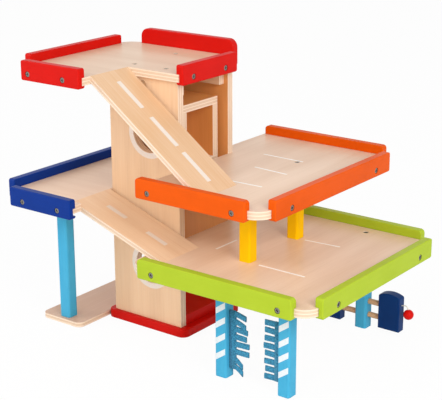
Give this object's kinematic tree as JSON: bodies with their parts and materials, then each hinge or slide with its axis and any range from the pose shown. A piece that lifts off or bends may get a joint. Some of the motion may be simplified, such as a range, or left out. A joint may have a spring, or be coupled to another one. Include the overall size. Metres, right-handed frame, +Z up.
{
  "type": "toy parking garage",
  "caption": "Wooden toy parking garage with a plywood tower, a lift, coloured railed decks, ramps, a car wash and fuel pumps.",
  "frame": {"origin": "on the ground, under the middle of the tower", "axes": "+X to the right towards the green and orange decks (the longest extent), +Y to the back, +Z up; the base's underside faces -Z"},
  "size_m": [0.4385, 0.2965, 0.3275],
  "materials": {
    "plywood": "clear satin lacquer",
    "dowel_wood": "sanded",
    "red_paint": "satin paint",
    "orange_paint": "satin paint",
    "green_paint": "satin paint",
    "dark_blue_paint": "satin paint",
    "navy_paint": "satin paint",
    "light_blue_paint": "satin paint",
    "yellow_paint": "satin paint",
    "blue_felt": "felt",
    "pale_cord": "thin braided cord",
    "white_print": "screen printed ink",
    "screw_steel": "zinc plated"
  },
  "bodies": {
    "garage": {"back_cleat": "plywood", "back_guide": "plywood", "back_yellow_pillar": "yellow_paint", "base_plate": "red_paint", "blue_back_rail": "dark_blue_paint", "blue_deck": "plywood", "blue_deck_pillar": "light_blue_paint", "blue_front_rail": "dark_blue_paint", "blue_left_rail": "dark_blue_paint", "blue_screws": "screw_steel", "front_cleat": "plywood", "front_guide": "plywood", "front_yellow_pillar": "yellow_paint", "fuel_pump_left": "navy_paint", "fuel_pump_right": "navy_paint", "green_back_rail": "green_paint", "green_deck": "plywood", "green_front_rail": "green_paint", "green_right_rail": "green_paint", "green_screws": "screw_steel", "ground_plank": "plywood", "hose_bead": "red_paint", "hose_cord": "pale_cord", "lower_ramp": "plywood", "orange_back_rail": "orange_paint", "orange_deck": "plywood", "orange_front_rail": "orange_paint", "orange_right_rail": "orange_paint", "orange_screws": "screw_steel", "pump_dowels": "dowel_wood", "pump_pillar": "light_blue_paint", "red_back_rail": "red_paint", "red_deck": "plywood", "red_front_rail": "red_paint", "red_left_rail": "red_paint", "red_right_rail": "red_paint", "red_screws": "screw_steel", "shaft_floor": "red_paint", "tower_back_wall": "plywood", "tower_front_wall": "plywood", "upper_ramp": "plywood", "wash_brush_left": "blue_felt", "wash_brush_right": "blue_felt", "wash_left_pillar": "light_blue_paint", "wash_right_pillar": "light_blue_paint"},
    "lift_cabin": {"lift_floor": "plywood", "lift_roof": "plywood", "lift_front_panel": "plywood", "lift_back_panel": "plywood", "lift_cord_eye": "screw_steel"},
    "crank": {"winding_axle": "dowel_wood", "crank_arm": "red_paint", "crank_knob": "red_paint"}
  },
  "joints": [
    {"name": "crank_turn", "type": "hinge", "parent": "garage", "child": "crank", "pos_m": [0, 0, 0.29], "axis": [0, 1, 0], "range_deg": [-2001, 96]},
    {"name": "lift_slide", "type": "slide", "parent": "garage", "child": "lift_cabin", "axis": [0, 0, 1], "range_m": [-0.1676, 0.008]}
  ],
  "couplings": [
    {"joint": "crank_turn", "follows": "lift_slide", "rad_per_m": 208.33}
  ]
}
